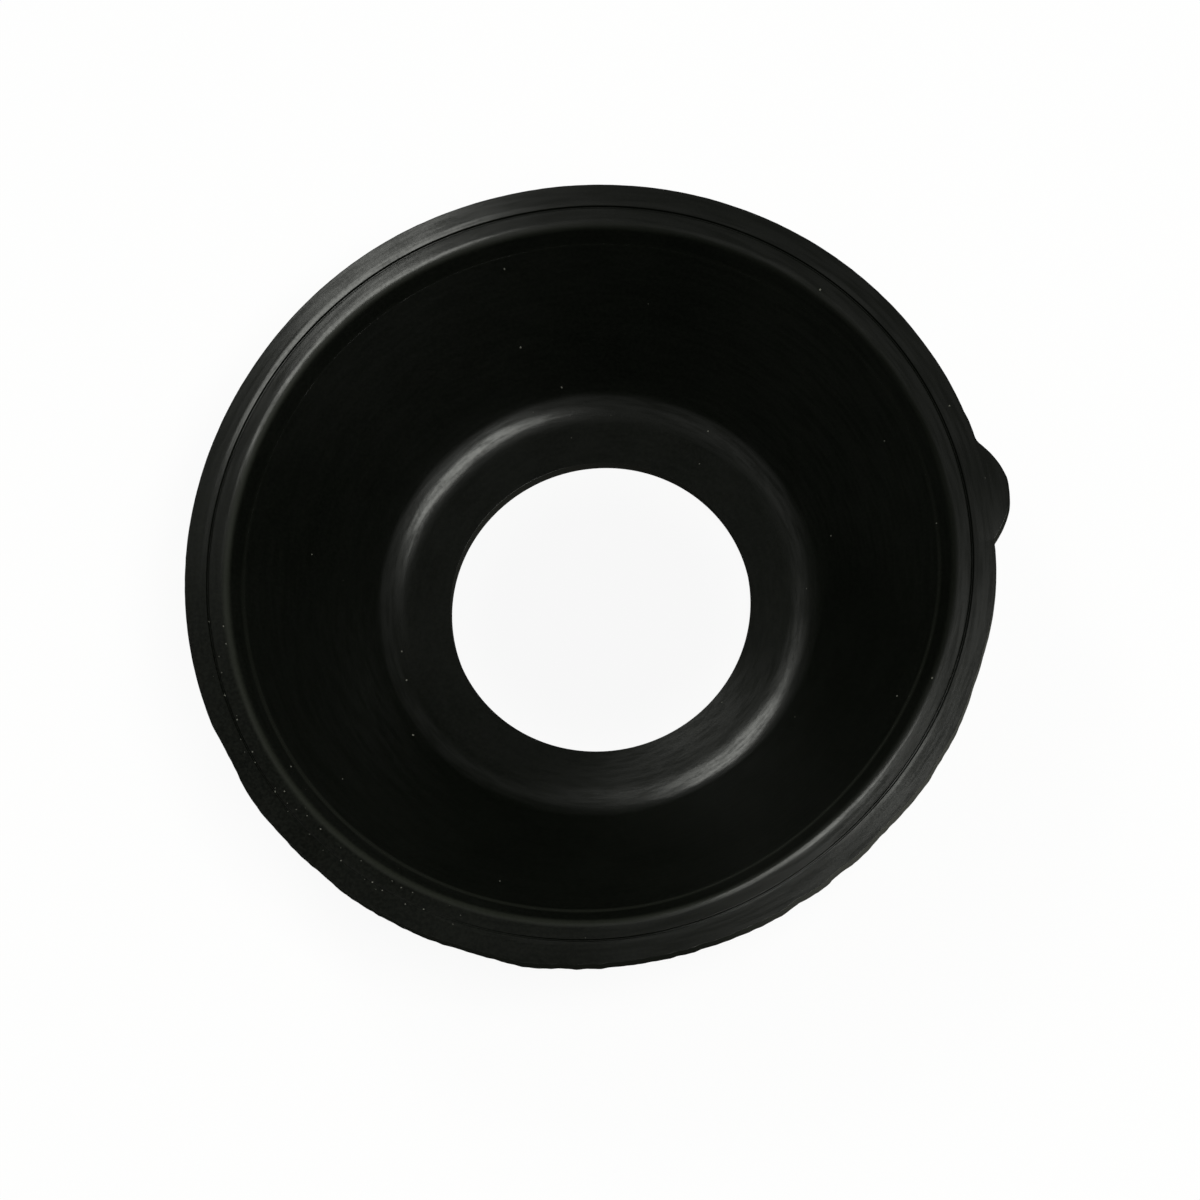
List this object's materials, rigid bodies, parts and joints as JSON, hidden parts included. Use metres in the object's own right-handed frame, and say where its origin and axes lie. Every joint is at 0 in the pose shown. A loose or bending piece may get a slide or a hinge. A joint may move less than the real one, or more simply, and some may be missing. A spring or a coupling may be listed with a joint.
{
  "type": "carburettor slide diaphragm",
  "caption": "Moulded rubber bowl with a thick clamped rim, a small round locating tab and a flat inner ring with a round bore for the slide.",
  "frame": {"origin": "centre of the bore, on the flat underside of the inner ring", "axes": "+Z along the bore's axis towards the open side of the bowl, +X towards the locating tab"},
  "size_m": [0.0738, 0.072, 0.0143],
  "materials": {
    "rubber": "satin"
  },
  "bodies": {
    "root": {"slide_diaphragm": "rubber"}
  },
  "joints": []
}
